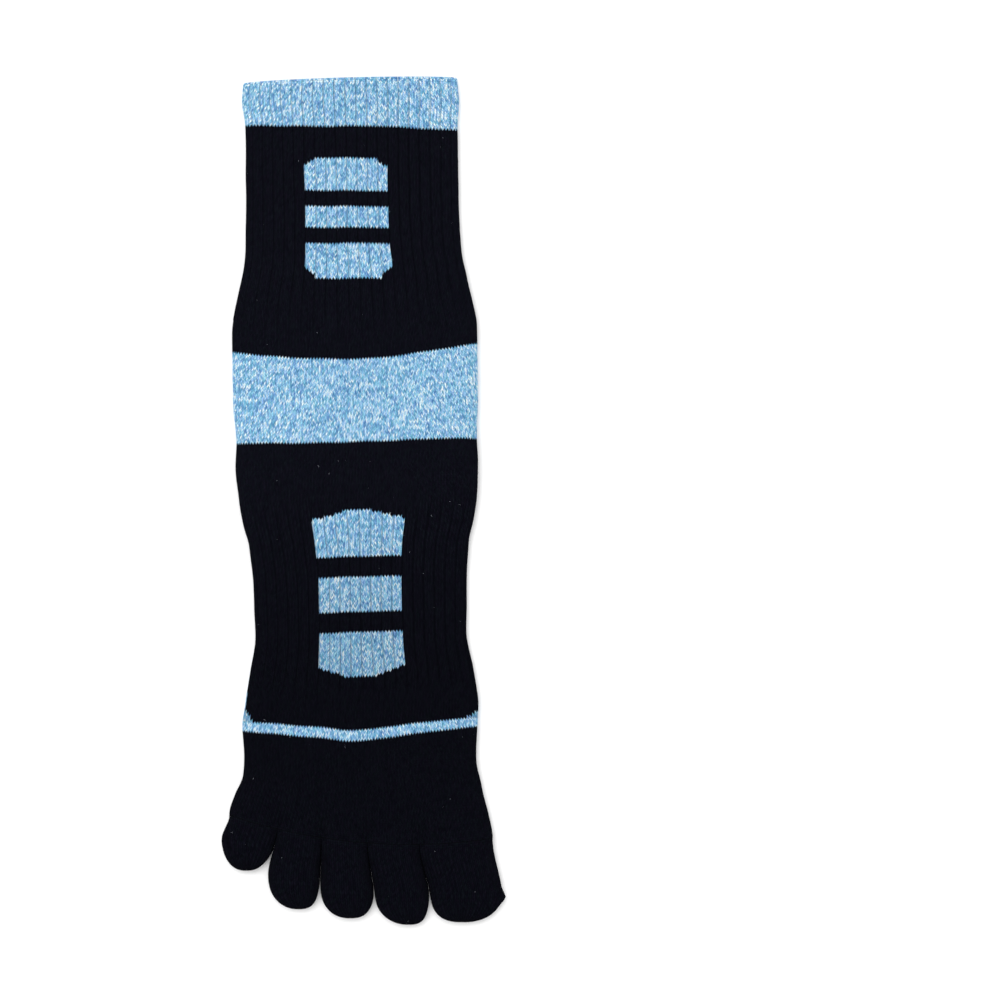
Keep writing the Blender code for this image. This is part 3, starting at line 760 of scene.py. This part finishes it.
def knit_faces(outer, numbers, inner, closed_tip):
    """Points, faces, and the stitch coordinates of every corner of a knitted shell."""
    rows, columns = outer.shape[:2]
    inner_rows, inner_columns = inner.shape[:2]
    ratio = columns // inner_columns
    wales = columns // COLUMNS_A_WALE
    points = np.concatenate([outer.reshape(-1, 3), inner.reshape(-1, 3)])
    if numbers.ndim == 1:
        numbers = np.repeat(numbers[:, None], columns, axis=1)
    i, j = np.meshgrid(np.arange(rows - 1), np.arange(columns), indexing="ij")
    k = (j + 1) % columns
    quads = np.stack([i * columns + j, (i + 1) * columns + j, (i + 1) * columns + k, i * columns + k], -1)
    u = np.stack([j, j, j + 1, j + 1], -1) / COLUMNS_A_WALE
    v = np.stack([numbers[i, j], numbers[i + 1, j], numbers[i + 1, k], numbers[i, k]], -1)
    faces = quads.reshape(-1, 4).tolist()
    corners = [np.stack([u, v], -1).reshape(-1, 2)]
    shift = rows * columns
    i, j = np.meshgrid(np.arange(inner_rows - 1), np.arange(inner_columns), indexing="ij")
    k = (j + 1) % inner_columns
    here, beyond = i * inner_columns, (i + 1) * inner_columns
    inside = np.stack([here + j, here + k, beyond + k, beyond + j], -1)
    faces += (inside.reshape(-1, 4) + shift).tolist()
    step = wales / inner_columns
    depth = numbers[0, 0] + i * (numbers[-1, 0] - numbers[0, 0]) / max(inner_rows - 1, 1)
    height = (numbers[-1, 0] - numbers[0, 0]) / max(inner_rows - 1, 1)
    u = np.stack([j * step, (j + 1) * step, (j + 1) * step, j * step], -1)
    v = np.stack([depth, depth, depth + height, depth + height], -1)
    corners.append(np.stack([u, v], -1).reshape(-1, 2))
    last_row = (rows - 1) * columns
    last_inner_row = shift + (inner_rows - 1) * inner_columns
    rims = [(0, shift, False)]
    if not closed_tip:
        rims.append((last_row, last_inner_row, True))
    for outer_start, inner_start, flipped in rims:
        for j in range(inner_columns):
            near = [outer_start + (j * ratio + s) % columns for s in range(ratio + 1)]
            far = [inner_start + (j + 1) % inner_columns, inner_start + j]
            face = near + far
            faces.append(face[::-1] if flipped else face)
            spot = [j * step + RIM_WALE, numbers[0, 0] + RIM_COURSE]
            corners.append(np.tile([spot], (len(face), 1)))
    if closed_tip:
        tips = ((last_row, columns, True), (last_inner_row, inner_columns, False))
        for start, count, flipped in tips:
            ring = [start + j for j in range(count)]
            faces.append(ring[::-1] if flipped else ring)
            corners.append(np.tile([[RIM_WALE, numbers[-1, 0]]], (count, 1)))
    return points, faces, np.concatenate(corners)


def relief_corners(piece, corners):
    """For each corner, how far its stitch lies in a recess of the ribs, which the material paints darker
    as painted shade, and how bright its yarn is.
    """
    at = corners[:, 1] * COURSE
    lightness = 1 - (1 - FOREFOOT_SHADE) * ease((at - place("foot", 0.0)) / SHADE_RUN)
    recess = np.zeros(len(corners))
    if piece in LENGTHS:
        places = np.array([place(row[0], row[1]) for row in RIBS])
        strength = np.interp(at, places, [row[2] for row in RIBS])
        recess = strength * np.where(corners[:, 0] % RIB_WALES <= 1.0, 1.0, 0.0)
    if piece in LIGHT_PIECES:
        lightness[:] = 1.0
    return np.stack([recess, lightness], axis=1)


def nub(points):
    """Pulls out the end of the yarn at the big toe's corner."""
    away = points[:, :2] - np.array(NUB_AT)
    pull = NUB_HEIGHT * np.exp(-(np.sum(away**2, axis=1)) / NUB_WIDTH**2)
    points[:, 0] += pull
    return points


def fibres(name, anchors, normals, lengths, radius, seed, material):
    """Fine loose fibres that stand on the knit: thin bent threads with three sides."""
    random = np.random.default_rng(seed)
    count = len(anchors)
    sway = random.normal(size=(count, 3))
    first = normals * 0.6 + sway * 0.5
    first /= np.linalg.norm(first, axis=1)[:, None]
    second = first + random.normal(size=(count, 3)) * 0.8 + normals * 0.2
    second /= np.linalg.norm(second, axis=1)[:, None]
    reach = lengths[:, None] / 2
    middle = anchors + first * reach
    joints = [anchors - FIBRE_ROOT * normals, middle, anchors + (first + second) * reach]
    side = np.cross(first, [0.31, 0.52, 0.79])
    side /= np.linalg.norm(side, axis=1)[:, None]
    upright = np.cross(first, side)
    points = []
    for joint, taper in zip(joints, FIBRE_TAPER):
        joint[:, 2] = np.maximum(joint[:, 2], FIBRE_CLEARANCE)
        thin = radius * taper
        for turn in (0.0, 2.0 * math.pi / 3, 4.0 * math.pi / 3):
            points.append(joint + thin * (math.cos(turn) * side + math.sin(turn) * upright))
    points = np.stack(points, axis=1).reshape(-1, 3)
    pattern = []
    for low in (0, 3):
        for corner in range(3):
            other = (corner + 1) % 3
            pattern.append([low + corner, low + other, low + 3 + other, low + 3 + corner])
    faces = (np.array(pattern)[None] + 9 * np.arange(count)[:, None, None]).reshape(-1, 4).tolist()
    faces += (np.array([2, 1, 0])[None] + 9 * np.arange(count)[:, None]).tolist()
    faces += (np.array([6, 7, 8])[None] + 9 * np.arange(count)[:, None]).tolist()
    mesh = bpy.data.meshes.new(name)
    mesh.from_pydata(points.tolist(), [], faces)
    mesh.materials.append(material)
    mesh.update()
    solid = bpy.data.objects.new(name, mesh)
    bpy.context.scene.collection.objects.link(solid)
    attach(solid, "root")


def surface_spots(solids, count, seed, light):
    """Random points of the outer faces in one colour of yarn, with their normals."""
    random = np.random.default_rng(seed)
    centres = []
    normals = []
    for solid in solids:
        mesh = solid.data
        total = len(mesh.polygons)
        index = np.empty(total, np.int32)
        mesh.polygons.foreach_get("material_index", index)
        centre = np.empty(total * 3)
        mesh.polygons.foreach_get("center", centre)
        normal = np.empty(total * 3)
        mesh.polygons.foreach_get("normal", normal)
        outer = np.arange(total) < solid["outer_faces"]
        wanted = outer & (index == (0 if light else 1))
        centres.append(centre.reshape(-1, 3)[wanted])
        normals.append(normal.reshape(-1, 3)[wanted])
    centres = np.concatenate(centres)
    normals = np.concatenate(normals)
    chosen = random.choice(len(centres), count, replace=False)
    return centres[chosen], normals[chosen]


def add_fibres(solids):
    materials = (
        plain_material("light_blue_fibre", FUZZ_LIGHT, FUZZ_SHEEN),
        plain_material("black_navy_fibre", FUZZ_DARK),
        plain_material("lint_fibre", LINT_COLOUR),
    )
    for row, material in zip(FIBRES, materials):
        name, count, seed, on_light, (least, most), radius, slot = row
        anchors, normals = surface_spots(solids, count, seed, on_light)
        random = np.random.default_rng(seed + 100)
        lengths = MM * (least + (most - least) * random.random(count) ** 2)
        fibres(name, anchors, normals, lengths, radius, seed + 200, material)


def material_nodes(name):
    material = bpy.data.materials.new(name)
    material.use_nodes = True
    nodes = material.node_tree.nodes
    links = material.node_tree.links
    return material, nodes, links, nodes["Principled BSDF"]


def knit_material(name, tones, sheen, stitch_painted_shade, hue_spread, bump):
    """Knitted yarn: each leg of a stitch has its own tone, rounds off at its ends and sides, and
    carries fine fibres. The hollows between the legs and the recessed wale of each rib are painted
    darker as painted shade. tones is a list of (place, colour) from the darkest yarn to the palest."""
    material, nodes, links, shader = material_nodes(name)
    uv = nodes.new("ShaderNodeUVMap")
    uv.uv_map = "knit"
    split = nodes.new("ShaderNodeSeparateXYZ")
    links.new(uv.outputs[0], split.inputs[0])
    wale, course = split.outputs[0], split.outputs[1]

    def calc(operation, first, second=None):
        node = nodes.new("ShaderNodeMath")
        node.operation = operation
        for socket, value in ((0, first), (1, second)):
            if isinstance(value, (int, float)):
                node.inputs[socket].default_value = value
            elif value is not None:
                links.new(value, node.inputs[socket])
        return node.outputs[0]

    def cell_noise(columns_a_wale, rows_a_course, seed):
        spot = nodes.new("ShaderNodeCombineXYZ")
        links.new(calc("FLOOR", calc("MULTIPLY", wale, columns_a_wale)), spot.inputs[0])
        links.new(calc("FLOOR", calc("MULTIPLY", course, rows_a_course)), spot.inputs[1])
        spot.inputs[2].default_value = seed
        noise = nodes.new("ShaderNodeTexWhiteNoise")
        noise.noise_dimensions = "3D"
        links.new(spot.outputs[0], noise.inputs["Vector"])
        return noise.outputs["Value"]

    legs = cell_noise(2, 1, LEG_SEED)
    halves = cell_noise(2, 2, HALF_SEED)
    hues = cell_noise(2, 1, HUE_SEED)
    place_of = nodes.new("ShaderNodeTexCoord")
    strands = nodes.new("ShaderNodeTexNoise")
    strands.inputs["Scale"].default_value = FIBRE_SCALE
    strands.inputs["Detail"].default_value = 2
    links.new(place_of.outputs["Object"], strands.inputs["Vector"])
    clouds = nodes.new("ShaderNodeTexNoise")
    clouds.inputs["Scale"].default_value = CLOUD_SCALE
    clouds.inputs["Detail"].default_value = 1
    links.new(place_of.outputs["Object"], clouds.inputs["Vector"])
    tone = calc("MULTIPLY", legs, TONE_SHARES["leg"])
    tone = calc("ADD", tone, calc("MULTIPLY", halves, TONE_SHARES["half"]))
    tone = calc("ADD", tone, calc("MULTIPLY", strands.outputs["Fac"], TONE_SHARES["fibre"]))
    cloud = calc("SUBTRACT", clouds.outputs["Fac"], 0.5)
    tone = calc("ADD", tone, calc("MULTIPLY", cloud, TONE_SHARES["cloud"]))
    ramp = nodes.new("ShaderNodeValToRGB")
    links.new(tone, ramp.inputs[0])
    elements = ramp.color_ramp.elements
    while len(elements) < len(tones):
        elements.new(0.5)
    for element, (position, colour) in zip(elements, tones):
        element.position = position
        element.color = (*colour, 1)
    hue = nodes.new("ShaderNodeHueSaturation")
    turned = calc("MULTIPLY", calc("SUBTRACT", hues, 0.5), hue_spread)
    links.new(calc("ADD", turned, 0.5), hue.inputs["Hue"])
    links.new(ramp.outputs[0], hue.inputs["Color"])

    across = calc("MULTIPLY", calc("FRACT", wale), COLUMNS_A_WALE)
    across = calc("PINGPONG", across, 1)
    side = calc("SINE", calc("MULTIPLY", across, math.pi / 2))
    along = calc("ABSOLUTE", calc("SUBTRACT", calc("FRACT", course), 0.5))
    along = calc("POWER", calc("MULTIPLY", along, 2), 3)
    ends = calc("SUBTRACT", 1, calc("MULTIPLY", along, END_DIP))
    height = calc("MULTIPLY", side, ends)
    # Painted shade: the yarn is painted darker where the stitch relief is low, between the legs and at
    # their ends
    shade = calc("ADD", 1 - stitch_painted_shade, calc("MULTIPLY", height, stitch_painted_shade))
    recess = nodes.new("ShaderNodeUVMap")
    recess.uv_map = "relief"
    recess_split = nodes.new("ShaderNodeSeparateXYZ")
    links.new(recess.outputs[0], recess_split.inputs[0])
    # Painted shade: the recessed wale of each rib is painted darker
    rib_painted_shade = calc("SUBTRACT", 1, calc("MULTIPLY", recess_split.outputs[0], RIB_PAINTED_SHADE))
    shade = calc("MULTIPLY", shade, rib_painted_shade)
    shade = calc("MULTIPLY", shade, recess_split.outputs[1])
    mix = nodes.new("ShaderNodeVectorMath")
    mix.operation = "SCALE"
    links.new(hue.outputs[0], mix.inputs[0])
    links.new(shade, mix.inputs["Scale"])
    links.new(mix.outputs[0], shader.inputs["Base Color"])
    relief = calc("ADD", height, calc("MULTIPLY", strands.outputs["Fac"], STRAND_HEIGHT))
    bumped = nodes.new("ShaderNodeBump")
    bumped.inputs["Strength"].default_value = bump
    bumped.inputs["Distance"].default_value = BUMP_DISTANCE
    links.new(relief, bumped.inputs["Height"])
    links.new(bumped.outputs[0], shader.inputs["Normal"])
    set_cloth(shader, sheen)
    return material


def set_cloth(shader, sheen):
    shader.inputs["Roughness"].default_value = ROUGHNESS
    shader.inputs["Specular IOR Level"].default_value = 0.0
    shader.inputs["Sheen Weight"].default_value = sheen
    shader.inputs["Sheen Roughness"].default_value = SHEEN_ROUGHNESS


def plain_material(name, colour, sheen=0.0):
    material, _, _, shader = material_nodes(name)
    shader.inputs["Base Color"].default_value = (*colour, 1)
    set_cloth(shader, sheen)
    return material


def knitted(piece, made, materials, middle, closed_tip=False):
    """One knitted piece of the sock, in place of its node."""
    outer, numbers, inner = made
    points, faces, corners = knit_faces(outer, numbers, inner, closed_tip)
    points = nub(points - middle)
    mesh = bpy.data.meshes.new(piece + "_knit")
    mesh.from_pydata(points.tolist(), [], faces)
    layer = mesh.uv_layers.new(name="knit")
    layer.uv.foreach_set("vector", corners.astype(np.float32).ravel())
    # This map holds where painted shade falls in the recesses of the ribs, and how bright the yarn is
    layer = mesh.uv_layers.new(name="relief")
    layer.uv.foreach_set("vector", relief_corners(piece, corners).astype(np.float32).ravel())
    rows, columns = outer.shape[:2]
    share = (np.arange(rows - 1) + 0.5) / (rows - 1)
    wale = np.floor(np.arange(columns) / COLUMNS_A_WALE) + 0.5
    light = is_light(piece, wale[None, :], share[:, None]).reshape(-1)
    base = piece in LIGHT_PIECES
    index = np.full(len(faces), 0 if base else 1, np.int32)
    index[: len(light)] = np.where(light, 0, 1)
    for material in materials:
        mesh.materials.append(material)
    mesh.polygons.foreach_set("material_index", index)
    smooth = np.array([len(face) == 4 for face in faces])
    mesh.polygons.foreach_set("use_smooth", smooth)
    mesh.update()
    solid = bpy.data.objects.new(piece + "_knit", mesh)
    solid["outer_faces"] = (rows - 1) * columns
    bpy.context.scene.collection.objects.link(solid)
    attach(solid, "root")
    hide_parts(piece)
    return solid


def all_pieces():
    made = {"cuff": cuff(), "leg": tube("leg"), "heel": heel()}
    for piece in ("foot", "ball_stripe", "forefoot"):
        made[piece] = tube(piece)
    for index, row in enumerate(TOES):
        made[row[0]] = toe(index)
    return made


def frame_middle():
    """Where the frame's origin lies in the sock's own drawing: from the stripe's and cuff's nodes."""
    low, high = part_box("ball_stripe")
    width, shift = read_table(SECTIONS, place("ball_stripe", 0.5))[:2]
    middle_x = shift * width - (low[0] + high[0]) / 2
    mouth = np.max(course_height(0.0, np.linspace(-1, 1, MOUTH_STEPS)))
    return np.array([middle_x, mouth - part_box("cuff")[1][1], 0.0])


def add_floor():
    bpy.ops.mesh.primitive_plane_add(size=FLOOR_SIZE, location=(0, 0, 0))
    floor = bpy.context.object
    floor.name = "floor"
    floor.data.materials.append(plain_material("white_floor", FLOOR_COLOUR))


def add_light():
    world = bpy.data.worlds.new("studio")
    world.use_nodes = True
    world.node_tree.nodes["Background"].inputs[0].default_value = (1, 1, 1, 1)
    world.node_tree.nodes["Background"].inputs[1].default_value = SKY_STRENGTH
    bpy.context.scene.world = world
    data = bpy.data.lights.new("key", "AREA")
    data.shape = "DISK"
    data.size = LAMP_SIZE
    data.energy = LAMP_POWER
    lamp = bpy.data.objects.new("key", data)
    lamp.location = LAMP_PLACE
    lamp.rotation_euler = (-Vector(LAMP_PLACE)).to_track_quat("-Z", "Y").to_euler()
    bpy.context.scene.collection.objects.link(lamp)


def add_camera():
    data = bpy.data.cameras.new("camera")
    data.sensor_width = CAMERA_SENSOR
    width = PHOTO_SIZE * PHOTO_PIXEL
    data.lens = CAMERA_SENSOR * (CAMERA_HEIGHT - OUTLINE_HEIGHT) / width
    camera = bpy.data.objects.new("camera", data)
    x = (PHOTO_SIZE / 2 - ORIGIN_PIXEL[0]) * PHOTO_PIXEL
    y = (ORIGIN_PIXEL[1] - PHOTO_SIZE / 2) * PHOTO_PIXEL
    camera.location = (x, y, CAMERA_HEIGHT)
    bpy.context.scene.collection.objects.link(camera)
    bpy.context.scene.camera = camera


def main():
    bpy.context.scene.view_settings.view_transform = "Standard"
    light = knit_material("light_blue_melange", LIGHT_TONES, *LIGHT_LOOK)
    dark = knit_material("black_navy_knit", DARK_TONES, *DARK_LOOK)
    middle = frame_middle()
    toes = [row[0] for row in TOES]
    solids = [
        knitted(piece, made, (light, dark), middle, piece in toes)
        for piece, made in all_pieces().items()
    ]
    add_fibres(solids)
    add_floor()
    add_light()
    add_camera()


main()
